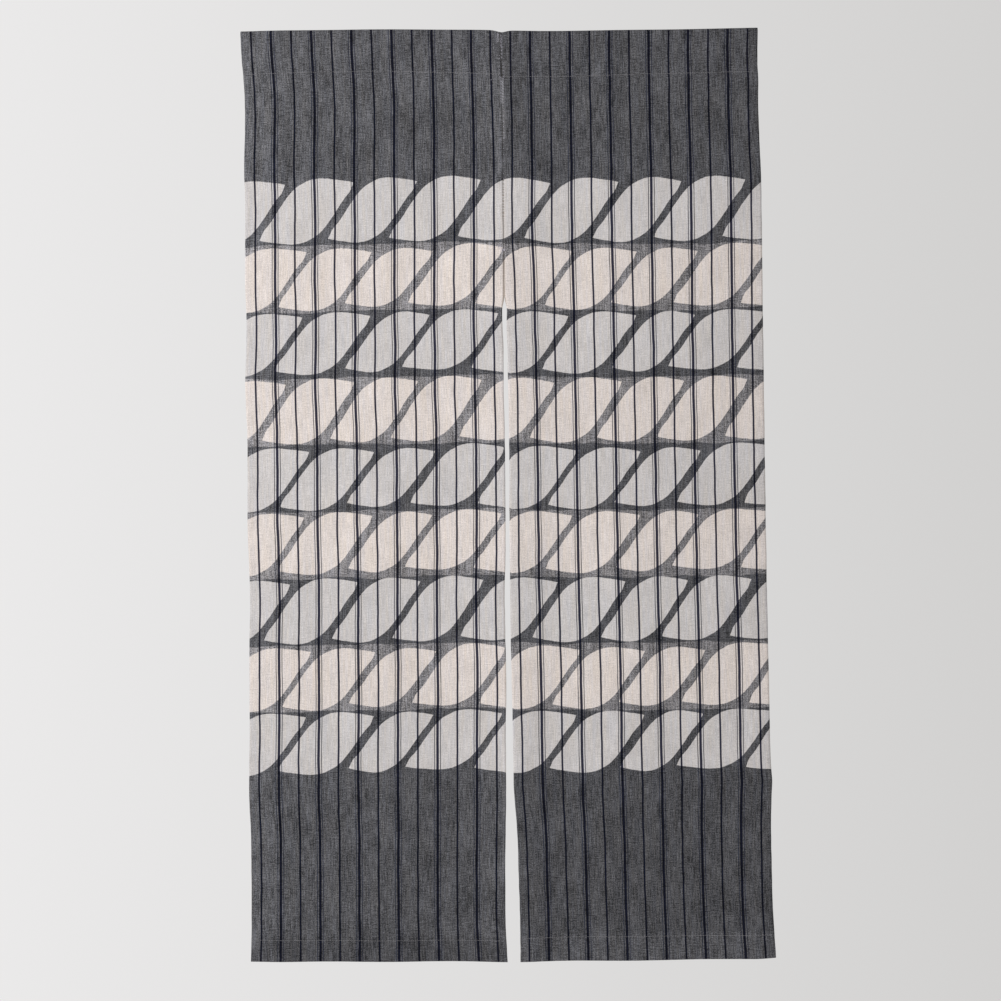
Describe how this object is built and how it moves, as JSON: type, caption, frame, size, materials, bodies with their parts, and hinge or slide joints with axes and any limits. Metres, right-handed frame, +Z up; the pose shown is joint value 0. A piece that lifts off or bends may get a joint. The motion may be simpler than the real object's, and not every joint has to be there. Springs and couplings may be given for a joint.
{
  "type": "noren curtain",
  "caption": "Split doorway curtain of two striped cotton panels stitched together at the head, with a rod pocket and a slit below.",
  "frame": {"origin": "middle of the top edge, where the rod holds the curtain up", "axes": "+X along the rod towards the right panel, -Y out of the printed front, +Z up"},
  "size_m": [0.852, 0.018, 1.5032],
  "materials": {
    "cotton_cloth": "plain-weave yarn-dyed cotton with navy stripes and a printed rope repeat, matte"
  },
  "bodies": {
    "root": {"panel_left": "cotton_cloth", "panel_right": "cotton_cloth"}
  },
  "joints": []
}
